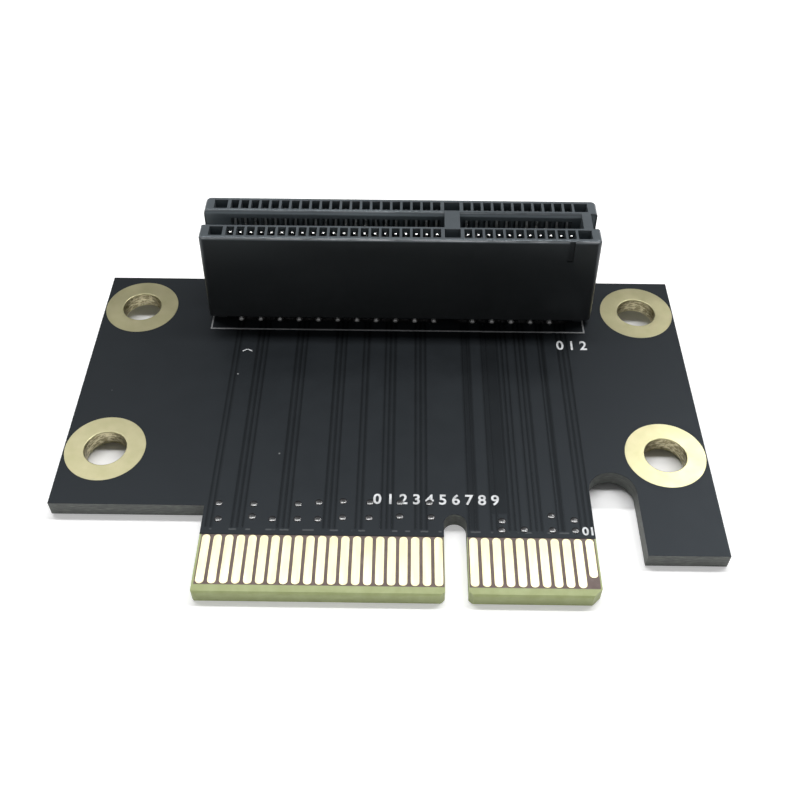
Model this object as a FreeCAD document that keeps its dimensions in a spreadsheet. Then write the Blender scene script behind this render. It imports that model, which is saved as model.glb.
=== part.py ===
import FreeCAD, Part
import math
import os
import Sketcher

# PCIe riser card: a rigid circuit board with a four-lane card edge at the front and a
# vertical four-lane through-hole socket at the rear. Millimetres.
# X runs along the card edge, Y from the card edge to the rear, Z up off the component side.
# The origin is the key notch's centre line, at the front of the edge, on the laminate's underside.

V = FreeCAD.Vector
doc = FreeCAD.newDocument("riser_card")
os.makedirs("parts", exist_ok=True)

# ---------------------------------------------------------------- driving dimensions

DIMENSIONS = {
    # laminate, mask and copper
    "core_thickness": 1.5,
    "skin_thickness": 0.05,
    "board_left": -36.05,
    "board_right": 23.45,
    "board_rear": 38.58,
    "left_wing_front": 8.75,
    "right_wing_front": 4.1,
    "tongue_left": -22.15,
    "tongue_right": 12.1,
    "tongue_corner": 0.8,
    "edge_corner": 0.2,
    "edge_break": 0.15,
    "mask_front": 5.75,
    "notch_radius": 1.0,
    "notch_centre": 7.1,
    "notch_corner": 0.4,
    "relief_radius": 2.14,
    "relief_centre": 10.8,
    # screw holes
    "hole_inset": 3.83,
    "hole_rear_inset": 4.54,
    "hole_spacing": 19.0,
    "hole_radius": 1.95,
    "barrel_radius": 2.05,
    "ring_radius": 3.72,
    # gold edge fingers
    "contact_pitch": 1.0,
    "finger_width": 0.7,
    "finger_front": 0.85,
    "finger_rear": 5.67,
    "finger_bevel": 0.2,
    "short_finger_front": 1.85,
    "long_group_end": -21.5,
    "short_group_start": 1.5,
    # traces that show through the mask
    "gap_width": 0.16,
    "gap_depth": 0.025,
    "trace_front": 6.1,
    "trace_rear": 31.9,
    # socket housing
    "socket_shift": -0.1,
    "socket_axis": 35.33,
    "socket_half_depth": 3.23,
    "socket_left": -24.45,
    "socket_right": 14.35,
    "socket_height": 10.96,
    "socket_gap": 0.65,
    "socket_corner": 0.5,
    "end_draft": 1.7,
    "socket_rim": 0.18,
    "foot_length": 0.9,
    "slot_half_width": 0.9,
    "slot_floor": 2.7,
    "lead_in_half_width": 1.18,
    "lead_in_depth": 0.35,
    "end_wall_inner": 12.75,
    "end_wall_outer": 13.65,
    "key_half_width": 0.75,
    "window_width": 0.76,
    "window_inner": 1.42,
    "window_outer": 2.74,
    "window_depth": 0.8,
    "channel_shelf": 3.4,
    "blank_depth": 1.6,
    "blank_key_half_width": 0.77,
    "blank_left_centre": -22.88,
    "blank_right_centre": 12.77,
    "blank_end_half_width": 0.66,
    "gate_width": 0.55,
    "gate_depth": 0.14,
    "gate_height": 2.5,
    # locating pegs under the housing
    "peg_radius": 1.15,
    "peg_left": -22.9,
    "peg_tip": 0.25,
    # contacts
    "outer_row": 2.85,
    "inner_row": 1.1,
    "strip_width": 0.4,
    "strip_thickness": 0.2,
    "tail_hole": 0.56,
    "contact_reach": 0.62,
    "contact_height": 7.7,
    "contact_tip": 10.7,
    "contact_tip_offset": 1.85,
    # solder
    "joint_base_radius": 0.45,
    "joint_tip_radius": 0.2,
    "joint_height": 1.0,
    # printed outline in front of the socket
    "print_left": -24.6,
    "print_right": 13.9,
    "print_front": 30.88,
    "print_tick": 2.1,
    "print_width": 0.15,
    "print_thickness": 0.02,
}

sheet = doc.addObject("Spreadsheet::Sheet", "Sheet")
for row, (alias, number) in enumerate(DIMENSIONS.items(), start=1):
    sheet.set(f"A{row}", alias)
    sheet.set(f"B{row}", str(number))
    sheet.setAlias(f"B{row}", alias)
doc.recompute()


def cells(expression):
    """The expression with each dimension name written as its spreadsheet cell."""
    words = []
    word = ""
    for letter in str(expression) + " ":
        if letter.isalnum() or letter == "_":
            word += letter
            continue
        words.append(f"Sheet.{word}" if word in DIMENSIONS else word)
        words.append(letter)
        word = ""
    return "".join(words).strip()


def size_of(expression):
    """The number that an expression of dimension names stands for."""
    return float(sheet.evalExpression(cells(expression).replace("Sheet.", "")))


# ---------------------------------------------------------------- bodies and sketches

def new_body(label, x="0", y="0", z="0"):
    """A body with its own place, bound to the sheet."""
    body = doc.addObject("PartDesign::Body", label)
    body.Label = label
    for axis, expression in (("x", x), ("y", y), ("z", z)):
        body.setExpression(f"Placement.Base.{axis}", cells(expression))
    return body


def new_sketch(body, plane, name, height="0"):
    """A sketch on one of the body's origin planes, moved along the plane's normal."""
    sketch = body.newObject("Sketcher::SketchObject", name)
    support = [item for item in body.Origin.OriginFeatures if item.Role == plane]
    sketch.AttachmentSupport = [(support[0], "")]
    sketch.MapMode = "FlatFace"
    sketch.setExpression("AttachmentOffset.Base.z", cells(height))
    return sketch


def pin(sketch, item, point, x, y):
    """Hold one point of a sketch at two expressions."""
    for kind, expression in (("DistanceX", x), ("DistanceY", y)):
        limit = Sketcher.Constraint(kind, -1, 1, item, point, size_of(expression))
        index = sketch.addConstraint(limit)
        sketch.setExpression(f"Constraints[{index}]", cells(expression))


def draw_loop(sketch, corners):
    """Straight lines round a closed loop; each corner is a pair of expressions."""
    places = [V(size_of(x), size_of(y), 0) for x, y in corners]
    count = len(corners)
    first = sketch.GeometryCount
    for i in range(count):
        sketch.addGeometry(Part.LineSegment(places[i], places[(i + 1) % count]), False)
    for i in range(count):
        joined = first + (i + 1) % count
        sketch.addConstraint(Sketcher.Constraint("Coincident", first + i, 2, joined, 1))
    for i, (x, y) in enumerate(corners):
        pin(sketch, first + i, 1, x, y)


def draw_rectangle(sketch, left, right, low, high):
    draw_loop(sketch, [(left, low), (right, low), (right, high), (left, high)])


def draw_circle(sketch, x, y, radius):
    circle = Part.Circle(V(size_of(x), size_of(y), 0), V(0, 0, 1), size_of(radius))
    item = sketch.addGeometry(circle, False)
    pin(sketch, item, 3, x, y)
    index = sketch.addConstraint(Sketcher.Constraint("Radius", item, size_of(radius)))
    sketch.setExpression(f"Constraints[{index}]", cells(radius))


def draw_polygon(sketch, x, y, radius, sides):
    """A regular polygon with a flat side towards the rear."""
    corners = []
    for step in range(sides):
        turn = 2 * math.pi * (step + 0.5) / sides + math.pi / 2
        across = f"({x}) + {math.cos(turn):.6f} * {radius}"
        along = f"({y}) + {math.sin(turn):.6f} * {radius}"
        corners.append((across, along))
    draw_loop(sketch, corners)


def pad(body, sketch, length, centred=False, downwards=False):
    feature = body.newObject("PartDesign::Pad", sketch.Name + "_pad")
    feature.Profile = sketch
    feature.setExpression("Length", cells(length))
    feature.Reversed = downwards
    feature.Midplane = centred
    sketch.Visibility = False
    doc.recompute()
    return feature


def pocket(body, sketch, length=None, centred=False, upwards=False):
    """Cut a sketch to a depth, or right through when no length is given."""
    before = body.Tip.Shape.Volume
    feature = body.newObject("PartDesign::Pocket", sketch.Name + "_cut")
    feature.Profile = sketch
    feature.Reversed = upwards
    feature.Midplane = centred
    if length is None:
        feature.Type = "ThroughAll"
        feature.Midplane = True
    else:
        feature.setExpression("Length", cells(length))
    feature.Refine = False
    sketch.Visibility = False
    doc.recompute()
    if not feature.Shape.Volume < before - 1e-6:
        raise RuntimeError(f"{feature.Name} cuts nothing")
    return feature


def repeat(body, features, occurrences):
    """Copies of the features along the card edge, one every second contact."""
    pattern = body.newObject("PartDesign::LinearPattern", features[0].Name + "_row")
    pattern.Originals = features
    along = [item for item in body.Origin.OriginFeatures if item.Role == "X_Axis"]
    pattern.Direction = (along[0], [""])
    pattern.Occurrences = occurrences
    pattern.Refine = False
    pattern.setExpression("Length", cells(f"2 * contact_pitch * {occurrences - 1}"))
    body.Tip = pattern
    doc.recompute()
    return pattern


# Contacts number from the right. The socket's tails leave in two staggered rows a side:
# even contacts take the outer rows and odd contacts the inner ones, on both sides of the key.
OUTER_GROUPS = [("long_group_end", 11), ("short_group_start + contact_pitch", 5)]
INNER_GROUPS = [("long_group_end + contact_pitch", 10), ("short_group_start", 6)]

BOARD_TOP = "(core_thickness + skin_thickness)"


# ---------------------------------------------------------------- board outline

def draw_board_outline(sketch, front):
    """The routed outline; front is where the tongue ends, at the edge or at the mask."""
    bare = front == "0"
    corners = [("board_left", "board_rear"), ("board_left", "left_wing_front")]
    corners.append(("tongue_left", "left_wing_front"))
    if bare:
        corners.append(("tongue_left", "edge_corner"))
        corners.append(("tongue_left + edge_corner", "0"))
        corners.append(("-notch_radius - notch_corner", "0"))
        corners.append(("-notch_radius", "notch_corner"))
    else:
        corners.append(("tongue_left", front))
        corners.append(("-notch_radius", front))
    notch_left = len(corners)
    corners.append(("-notch_radius", "notch_centre"))
    corners.append(("notch_radius", "notch_centre"))
    if bare:
        corners.append(("notch_radius", "notch_corner"))
        corners.append(("notch_radius + notch_corner", "0"))
        corners.append(("tongue_right - tongue_corner", "0"))
        corners.append(("tongue_right", "tongue_corner"))
    else:
        corners.append(("notch_radius", front))
        corners.append(("tongue_right", front))
    relief_left = len(corners)
    corners.append(("tongue_right", "relief_centre"))
    corners.append(("tongue_right + 2 * relief_radius", "relief_centre"))
    corners.append(("tongue_right + 2 * relief_radius", "right_wing_front"))
    corners.append(("board_right", "right_wing_front"))
    corners.append(("board_right", "board_rear"))

    rounds = {notch_left: ("0", "notch_centre", "notch_radius")}
    rounds[relief_left] = ("tongue_right + relief_radius", "relief_centre", "relief_radius")
    count = len(corners)
    places = [V(size_of(x), size_of(y), 0) for x, y in corners]
    ends = []
    for i in range(count):
        if i in rounds:
            x, y, radius = rounds[i]
            centre = V(size_of(x), size_of(y), 0)
            circle = Part.Circle(centre, V(0, 0, 1), size_of(radius))
            item = sketch.addGeometry(Part.ArcOfCircle(circle, 0, math.pi), False)
            pin(sketch, item, 3, x, y)
            ends.append((item, 2, 1))
        else:
            line = Part.LineSegment(places[i], places[(i + 1) % count])
            item = sketch.addGeometry(line, False)
            pin(sketch, item, 1, *corners[i])
            ends.append((item, 1, 2))
    for i in range(count):
        this, following = ends[i], ends[(i + 1) % count]
        meet = Sketcher.Constraint("Coincident", this[0], this[2], following[0], following[1])
        sketch.addConstraint(meet)


SCREW_HOLES = {
    "rear_left": ("board_left + hole_inset", "board_rear - hole_rear_inset"),
    "rear_right": ("board_right - hole_inset", "board_rear - hole_rear_inset"),
    "front_left": ("board_left + hole_inset", "board_rear - hole_rear_inset - hole_spacing"),
    "front_right": ("board_right - hole_inset", "board_rear - hole_rear_inset - hole_spacing"),
}


# The gold rings and the windows round them are drawn with many sides, and the
# barrels, which are out of sight in the core, with few. The bores are true circles.
RING_SIDES = 20
BARREL_SIDES = 12
PEG_SIDES = 8


def cut_screw_holes(body, radius, sides):
    for corner, (x, y) in SCREW_HOLES.items():
        sketch = new_sketch(body, "XY_Plane", f"{body.Name}_{corner}")
        draw_polygon(sketch, x, y, radius, sides)
        pocket(body, sketch)


def cut_peg_holes(body):
    sketch = new_sketch(body, "XY_Plane", body.Name + "_pegs")
    for x in ("socket_shift", "socket_shift + peg_left"):
        draw_polygon(sketch, x, "socket_axis", "peg_radius", PEG_SIDES)
    pocket(body, sketch)


def cut_tail_holes(body):
    """Square openings for the socket's tails, four rows of sixteen."""
    half = "tail_hole / 2"
    for reach, groups in (("outer_row", OUTER_GROUPS), ("inner_row", INNER_GROUPS)):
        for start, occurrences in groups:
            name = f"{body.Name}_{reach}_{occurrences}"
            sketch = new_sketch(body, "XY_Plane", name)
            for side in ("-", "+"):
                x = f"{start} + socket_shift"
                y = f"socket_axis {side} {reach}"
                draw_rectangle(sketch, f"{x} - {half}", f"{x} + {half}",
                               f"{y} - {half}", f"{y} + {half}")
            repeat(body, [pocket(body, sketch)], occurrences)


# ---------------------------------------------------------------- glass-fibre core

def make_circuit_board():
    body = new_body("circuit_board")
    outline = new_sketch(body, "XY_Plane", "core_outline")
    draw_board_outline(outline, "0")
    blank = pad(body, outline, "core_thickness")
    front_edges = []
    for index, edge in enumerate(blank.Shape.Edges, start=1):
        box = edge.BoundBox
        if box.YMax < 1e-6 and box.ZLength < 1e-6:
            front_edges.append(f"Edge{index}")
    broken = body.newObject("PartDesign::Chamfer", "edge_break")
    broken.Base = (blank, front_edges)
    broken.setExpression("Size", cells("edge_break"))
    doc.recompute()
    cut_screw_holes(body, "barrel_radius", BARREL_SIDES)
    cut_peg_holes(body)
    cut_tail_holes(body)
    return body


# ---------------------------------------------------------------- solder mask

# Each signal trace or pair shows as dark gap lines between it and the copper round it.
# A line is given by its distance from the key notch's centre, in contact pitches.
PAIR_CENTRES = [-19.0, -15.0, -11.0, -6.0, -3.0, 5.2, 7.05, 11.4]
SINGLE_TRACES = [-8.45, 1.45, 3.4, 9.2]
PAIR_SPREAD = 0.48
SINGLE_SPREAD = 0.24


def cut_gap_lines(body, height):
    """Shallow grooves in the mask over the gaps beside each trace or pair."""
    groups = [(centre, [-PAIR_SPREAD, 0.0, PAIR_SPREAD]) for centre in PAIR_CENTRES]
    groups += [(centre, [-SINGLE_SPREAD, SINGLE_SPREAD]) for centre in SINGLE_TRACES]
    for number, (centre, offsets) in enumerate(groups):
        sketch = new_sketch(body, "XY_Plane", f"{body.Name}_gaps_{number}", height)
        for offset in offsets:
            x = f"{centre + offset:.2f} * contact_pitch"
            draw_rectangle(sketch, f"{x} - gap_width / 2", f"{x} + gap_width / 2",
                           "trace_front", "trace_rear")
        pocket(body, sketch, "gap_depth")


def make_solder_mask_top():
    body = new_body("solder_mask_top", z="core_thickness")
    outline = new_sketch(body, "XY_Plane", "top_mask_outline")
    draw_board_outline(outline, "mask_front")
    pad(body, outline, "skin_thickness")
    cut_screw_holes(body, "ring_radius", RING_SIDES)
    cut_peg_holes(body)
    # Under the socket the mask opens in one long window for each row of plated holes.
    pads = new_sketch(body, "XY_Plane", "top_pad_windows")
    half = "tail_hole / 2"
    for side, reach in (("-", "outer_row"), ("-", "inner_row"), ("+", "inner_row"), ("+", "outer_row")):
        y = f"socket_axis {side} {reach}"
        for left, right in (("long_group_end", "-contact_pitch"), ("contact_pitch", "12 * contact_pitch")):
            draw_rectangle(pads, f"{left} - contact_pitch / 2", f"{right} + contact_pitch / 4",
                           f"{y} - {half}", f"{y} + {half}")
    pocket(body, pads)
    cut_gap_lines(body, "skin_thickness")
    return body


def make_solder_mask_bottom():
    body = new_body("solder_mask_bottom", z="-skin_thickness")
    outline = new_sketch(body, "XY_Plane", "bottom_mask_outline")
    draw_board_outline(outline, "mask_front")
    pad(body, outline, "skin_thickness")
    cut_screw_holes(body, "ring_radius", RING_SIDES)
    cut_peg_holes(body)
    cut_tail_holes(body)
    return body


# ---------------------------------------------------------------- plated screw holes

def make_hole_plating(corner):
    """A plated barrel with a flat gold ring at each face, made as one skin of metal."""
    x, y = SCREW_HOLES[corner]
    body = new_body(f"{corner}_hole_plating", x, y)
    for name, height in (("lower_ring", "-skin_thickness"), ("upper_ring", "core_thickness")):
        ring = new_sketch(body, "XY_Plane", f"{corner}_{name}", height)
        draw_polygon(ring, "0", "0", "ring_radius", RING_SIDES)
        if name == "upper_ring":
            barrel = new_sketch(body, "XY_Plane", f"{corner}_barrel")
            draw_polygon(barrel, "0", "0", "barrel_radius", BARREL_SIDES)
            pad(body, barrel, "core_thickness")
        pad(body, ring, "skin_thickness")
    bore = new_sketch(body, "XY_Plane", f"{corner}_bore")
    draw_circle(bore, "0", "0", "hole_radius")
    # the bore is refined so that it is one cylinder from face to face
    pocket(body, bore).Refine = True
    doc.recompute()
    return body


# ---------------------------------------------------------------- gold edge fingers

def draw_finger(sketch, x, front):
    """One finger with both ends clipped at the corners."""
    half = "finger_width / 2"
    draw_loop(sketch, [
        (f"{x} - {half} + finger_bevel", front),
        (f"{x} + {half} - finger_bevel", front),
        (f"{x} + {half}", f"{front} + finger_bevel"),
        (f"{x} + {half}", "finger_rear - finger_bevel"),
        (f"{x} + {half} - finger_bevel", "finger_rear"),
        (f"{x} - {half} + finger_bevel", "finger_rear"),
        (f"{x} - {half}", "finger_rear - finger_bevel"),
        (f"{x} - {half}", f"{front} + finger_bevel"),
    ])


def make_finger_group(label, side_height, first, occurrences, short_ones):
    """Fingers along one side of the key notch; short_ones counts from the group's left end."""
    body = new_body(label, z=side_height)
    runs = []
    run_start = 0
    for index in range(occurrences + 1):
        if index == occurrences or index in short_ones:
            if index > run_start:
                runs.append((run_start, index - run_start, "finger_front"))
            if index < occurrences:
                runs.append((index, 1, "short_finger_front"))
            run_start = index + 1
    for start, length, front in runs:
        sketch = new_sketch(body, "XY_Plane", f"{label}_{start}")
        draw_finger(sketch, f"{first} + {start} * contact_pitch", front)
        finger = pad(body, sketch, "skin_thickness")
        if length > 1:
            row = repeat(body, [finger], length)
            row.setExpression("Length", cells(f"contact_pitch * {length - 1}"))
            doc.recompute()
    return body


# ---------------------------------------------------------------- socket housing

def channel_section(side, reach):
    """The space of one contact, seen along the socket: open below, to the slot and above.

    side is the wall that it lies in, and reach names the row that its tail leaves by."""
    top = "socket_height + 1"
    rim = "socket_height - window_depth"
    slot_side = "slot_half_width - 0.05"
    window = [("window_outer", top), ("window_inner", top), ("window_inner", rim), (slot_side, rim)]
    if reach == "inner_row":
        corners = [(slot_side, "socket_gap - 1"), ("window_outer", "socket_gap - 1")] + window
    else:
        tail_side = "outer_row + strip_thickness"
        corners = [("window_inner", "socket_gap - 1"), (tail_side, "socket_gap - 1")]
        corners += [(tail_side, "slot_floor / 2"), ("window_outer", "slot_floor")] + window
        corners += [(slot_side, "channel_shelf"), ("window_inner", "channel_shelf")]
    sign = "-" if side == "near" else ""
    return [(f"{sign}({across})", height) for across, height in corners]


def make_socket_housing():
    body = new_body("socket_housing", "socket_shift", "socket_axis", BOARD_TOP)

    block = new_sketch(body, "XY_Plane", "housing_block", "socket_gap")
    left, right = "socket_left", "socket_right"
    depth, corner = "socket_half_depth", "socket_corner"
    draw_rectangle(block, left, right, f"-{depth}", depth)
    base = pad(body, block, "socket_height - socket_gap")
    ends = []
    for index, face in enumerate(base.Shape.Faces, start=1):
        outward = face.normalAt(0, 0)
        if abs(outward.x) > 0.99:
            ends.append(f"Face{index}")
        if outward.z > 0.99:
            top = f"Face{index}"
    drafted = body.newObject("PartDesign::Draft", "end_walls_draft")
    drafted.Base = (base, ends)
    drafted.NeutralPlane = (base, [top])
    drafted.setExpression("Angle", cells("end_draft"))
    doc.recompute()
    upright = []
    for index, edge in enumerate(drafted.Shape.Edges, start=1):
        if abs(edge.tangentAt(edge.FirstParameter).z) > 0.99:
            upright.append(f"Edge{index}")
    rounded = body.newObject("PartDesign::Fillet", "housing_corners")
    rounded.Base = (drafted, upright)
    rounded.setExpression("Radius", cells(corner))
    doc.recompute()
    lid = max(range(len(rounded.Shape.Faces)), key=lambda i: rounded.Shape.Faces[i].CenterOfMass.z)
    rim = body.newObject("PartDesign::Chamfer", "housing_rim")
    rim.Base = (rounded, [f"Face{lid + 1}"])
    rim.setExpression("Size", cells("socket_rim"))
    doc.recompute()

    # Feet at both ends and the two pegs that find the board's holes.
    feet = new_sketch(body, "XY_Plane", "housing_feet")
    draw_rectangle(feet, f"{left} + {corner}", f"{left} + {corner} + foot_length", f"-{depth} + {corner}",
                   f"{depth} - {corner}")
    draw_rectangle(feet, f"{right} - {corner} - foot_length", f"{right} - {corner}",
                   f"-{depth} + {corner}", f"{depth} - {corner}")
    pad(body, feet, "socket_gap + 0.3")
    pegs = new_sketch(body, "XY_Plane", "housing_pegs", "socket_gap + 0.3")
    for x in ("0", "peg_left"):
        draw_polygon(pegs, x, "0", "peg_radius", PEG_SIDES)
    peg_length = f"socket_gap + 0.3 + {BOARD_TOP} + skin_thickness + peg_tip"
    pad(body, pegs, peg_length, downwards=True)

    # The card slot: open at the left end, closed by an end wall at the right, flared at its mouth.
    for name, end, inner in (("left_slot", "socket_left - 1", "-key_half_width"),
                             ("right_slot", "end_wall_inner", "key_half_width")):
        slot = new_sketch(body, "XY_Plane", name, "socket_height")
        draw_rectangle(slot, end, inner, "-slot_half_width", "slot_half_width")
        pocket(body, slot, "socket_height - slot_floor")
    flare = new_sketch(body, "YZ_Plane", "slot_flare", "socket_left - 1")
    draw_loop(flare, [
        ("-lead_in_half_width", "socket_height"),
        ("-slot_half_width", "socket_height - lead_in_depth"),
        ("slot_half_width", "socket_height - lead_in_depth"),
        ("lead_in_half_width", "socket_height"),
    ])
    flare_length = "end_wall_inner - socket_left + 1"
    pocket(body, flare, flare_length, upwards=True)
    recess = new_sketch(body, "XY_Plane", "end_recess", "socket_height")
    draw_rectangle(recess, "end_wall_outer", "socket_right + 1", "-lead_in_half_width", "lead_in_half_width")
    pocket(body, recess, "socket_height - slot_floor")
    return body


def finish_socket_housing(body):
    """The key bridge, the blank pockets, the pin-one groove and the 64 contact channels."""
    key = new_sketch(body, "XY_Plane", "key_bridge", "slot_floor - 0.2")
    draw_rectangle(key, "-key_half_width", "key_half_width",
                   "-lead_in_half_width - 0.02", "lead_in_half_width + 0.02")
    pad(body, key, "socket_height - slot_floor + 0.2")

    blanks = new_sketch(body, "XY_Plane", "blank_pockets", "socket_height")
    places = [("0", "blank_key_half_width"), ("blank_left_centre", "blank_end_half_width"),
              ("blank_right_centre", "blank_end_half_width")]
    for x, half in places:
        for low, high in (("-window_outer", "-window_inner"), ("window_inner", "window_outer")):
            draw_rectangle(blanks, f"{x} - {half}", f"{x} + {half}", low, high)
    pocket(body, blanks, "blank_depth")

    gate = new_sketch(body, "XZ_Plane", "pin_one_groove", "socket_half_depth")
    start = "short_group_start + 10 * contact_pitch"
    draw_rectangle(gate, f"{start} - gate_width / 2", f"{start} + gate_width / 2",
                   "socket_height - gate_height", "socket_height + 1")
    pocket(body, gate, "gate_depth")

    for reach, groups in (("outer_row", OUTER_GROUPS), ("inner_row", INNER_GROUPS)):
        for start, occurrences in groups:
            name = f"channel_{reach}_{occurrences}"
            channel = new_sketch(body, "YZ_Plane", name, start)
            for side in ("near", "far"):
                draw_loop(channel, channel_section(side, reach))
            cut = pocket(body, channel, "window_width", centred=True)
            repeat(body, [cut], occurrences)
    return body


# ---------------------------------------------------------------- contacts

def strip_outline(path, thickness):
    """Both sides of a bent strip, from the path along its middle."""
    middle = [V(size_of(y), size_of(z), 0) for y, z in path]
    left, right = [], []
    for i, point in enumerate(middle):
        before = (point - middle[i - 1]).normalize() if i else None
        after = (middle[i + 1] - point).normalize() if i + 1 < len(middle) else None
        before = before or after
        after = after or before
        along = (before + after).normalize()
        across = V(-along.y, along.x, 0)
        reach = 0.5 * size_of(thickness) / max(across.dot(V(-after.y, after.x, 0)), 0.5)
        left.append(point + across * reach)
        right.append(point - across * reach)
    return left + right[::-1]


def contact_path(side, reach):
    """The middle of one contact, seen along the socket: tail, stem, spring and tip."""
    tail = f"-({BOARD_TOP} + skin_thickness)"
    path = [(reach, tail), (reach, "slot_floor / 2")]
    path += [("contact_reach", "contact_height"), ("contact_tip_offset", "contact_tip")]
    sign = "-" if side == "near" else ""
    return [(f"{sign}({across})", height) for across, height in path]


def make_contact_row(side, reach, groups):
    """Sixteen stamped springs, alike, with their tails in one row of holes."""
    label = f"contacts_{side}_{reach}"
    body = new_body(label, "socket_shift", "socket_axis", BOARD_TOP)
    for start, occurrences in groups:
        section = new_sketch(body, "YZ_Plane", f"{label}_{occurrences}", start)
        outline = strip_outline(contact_path(side, reach), "strip_thickness")
        count = len(outline)
        for i in range(count):
            section.addGeometry(Part.LineSegment(outline[i], outline[(i + 1) % count]), False)
        for i in range(count):
            section.addConstraint(Sketcher.Constraint("Coincident", i, 2, (i + 1) % count, 1))
        blade = pad(body, section, "strip_width", centred=True)
        repeat(body, [blade], occurrences)
    return body


# ---------------------------------------------------------------- solder

def solder_joint(x, y):
    """One closed fillet with six flat sides, wide at the board and narrow at the tail's end."""
    base = size_of("-skin_thickness")
    tip = base - size_of("joint_height")
    rings = []
    for radius, height in (("joint_base_radius", base), ("joint_tip_radius", tip)):
        ring = []
        for step in range(6):
            turn = math.pi * step / 3
            reach = size_of(radius)
            ring.append(V(x + reach * math.cos(turn), y + reach * math.sin(turn), height))
        rings.append(ring)
    wide, narrow = rings
    faces = []
    for step in range(6):
        after = (step + 1) % 6
        side = [wide[step], wide[after], narrow[after], narrow[step], wide[step]]
        faces.append(Part.Face(Part.makePolygon(side)))
    faces.append(Part.Face(Part.makePolygon(wide + wide[:1])))
    faces.append(Part.Face(Part.makePolygon(narrow + narrow[:1])))
    return Part.makeSolid(Part.makeShell(faces))


def make_solder_row(side, reach, groups):
    """Sixteen solder fillets that cover one row of tails on the underside."""
    sign = "-" if side == "near" else ""
    y = size_of(f"socket_axis + ({sign}{reach})")
    joints = []
    for start, occurrences in groups:
        for place in range(occurrences):
            x = size_of(f"{start} + socket_shift + {2 * place} * contact_pitch")
            joint = solder_joint(x, y)
            if joint.Volume < 0:
                joint.reverse()
            joints.append(joint)
    row = doc.addObject("Part::Feature", f"solder_{side}_{reach}")
    row.Label = row.Name
    row.Shape = Part.makeCompound(joints)
    return row


# ---------------------------------------------------------------- printed outline

def make_socket_outline_print():
    """A thin line of ink along the socket's front with a short return at each end."""
    body = new_body("socket_outline_print", z=BOARD_TOP)
    line = new_sketch(body, "XY_Plane", "print_line")
    left, right, front = "print_left", "print_right", "print_front"
    draw_loop(line, [
        (left, front), (right, front), (right, f"{front} + print_tick"),
        (f"{right} - print_width", f"{front} + print_tick"),
        (f"{right} - print_width", f"{front} + print_width"),
        (f"{left} + print_width", f"{front} + print_width"),
        (f"{left} + print_width", f"{front} + print_tick"),
        (left, f"{front} + print_tick"),
    ])
    pad(body, line, "print_thickness")
    return body


# ---------------------------------------------------------------- assembly

parts = [make_circuit_board(), make_solder_mask_top(), make_solder_mask_bottom()]
for hole_corner in SCREW_HOLES:
    parts.append(make_hole_plating(hole_corner))

# The long group has 21 fingers and the short group 11. On the component side the last finger of
# the short group is cut back; on the underside the two presence fingers of the long group are.
parts.append(make_finger_group("fingers_top_long", "core_thickness", "long_group_end", 21, []))
parts.append(make_finger_group("fingers_top_short", "core_thickness", "short_group_start", 11, [10]))
parts.append(make_finger_group("fingers_bottom_long", "-skin_thickness", "long_group_end", 21, [1, 15]))
parts.append(make_finger_group("fingers_bottom_short", "-skin_thickness", "short_group_start", 11, []))

parts.append(finish_socket_housing(make_socket_housing()))
for wall in ("near", "far"):
    parts.append(make_contact_row(wall, "outer_row", OUTER_GROUPS))
    parts.append(make_contact_row(wall, "inner_row", INNER_GROUPS))
for wall in ("near", "far"):
    parts.append(make_solder_row(wall, "outer_row", OUTER_GROUPS))
    parts.append(make_solder_row(wall, "inner_row", INNER_GROUPS))
parts.append(make_socket_outline_print())

doc.recompute()
for item in doc.Objects:
    if {"Invalid", "Error"} & set(item.State):
        raise RuntimeError(f"{item.Name} is {item.State}")
for item in parts:
    if item.Shape.isNull() or not item.Shape.isValid():
        raise RuntimeError(f"{item.Label} has no valid shape")
    item.Shape.exportStep(f"parts/{item.Label}.step")
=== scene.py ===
import math

import bmesh
import bpy
from mathutils import Matrix, Vector


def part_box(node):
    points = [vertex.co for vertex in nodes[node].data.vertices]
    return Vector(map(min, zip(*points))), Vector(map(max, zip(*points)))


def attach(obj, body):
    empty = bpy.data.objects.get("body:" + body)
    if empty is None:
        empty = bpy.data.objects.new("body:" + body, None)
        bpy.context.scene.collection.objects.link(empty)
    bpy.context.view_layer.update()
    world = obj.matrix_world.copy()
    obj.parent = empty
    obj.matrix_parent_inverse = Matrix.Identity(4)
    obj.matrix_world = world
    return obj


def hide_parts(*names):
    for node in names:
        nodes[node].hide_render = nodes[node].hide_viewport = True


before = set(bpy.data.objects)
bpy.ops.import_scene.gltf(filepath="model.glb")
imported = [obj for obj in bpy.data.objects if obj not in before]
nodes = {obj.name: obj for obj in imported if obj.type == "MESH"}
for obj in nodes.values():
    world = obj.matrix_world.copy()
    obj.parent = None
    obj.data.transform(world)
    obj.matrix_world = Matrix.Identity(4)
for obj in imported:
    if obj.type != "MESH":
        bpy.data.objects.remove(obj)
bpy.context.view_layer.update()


# ---------------------------------------------------------------- circuit board
# The rigid board that carries everything: woven glass fibre set in epoxy, pressed flat with its
# copper layers and routed to shape. Its cut edges show the cloth layers, and the tongue's bare
# face is dark over the inner copper and yellow-green in front of it.

MM = 0.001


def new_finish(name):
    """A node material, its node tree and its shader."""
    finish = bpy.data.materials.new(name)
    finish.use_nodes = True
    tree = finish.node_tree
    return finish, tree, tree.nodes["Principled BSDF"]


def add_node(tree, kind, **settings):
    """A node with its inputs or its own properties set by name."""
    node = tree.nodes.new(kind)
    for name, value in settings.items():
        if name in node.inputs:
            node.inputs[name].default_value = value
        else:
            setattr(node, name, value)
    return node


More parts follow.
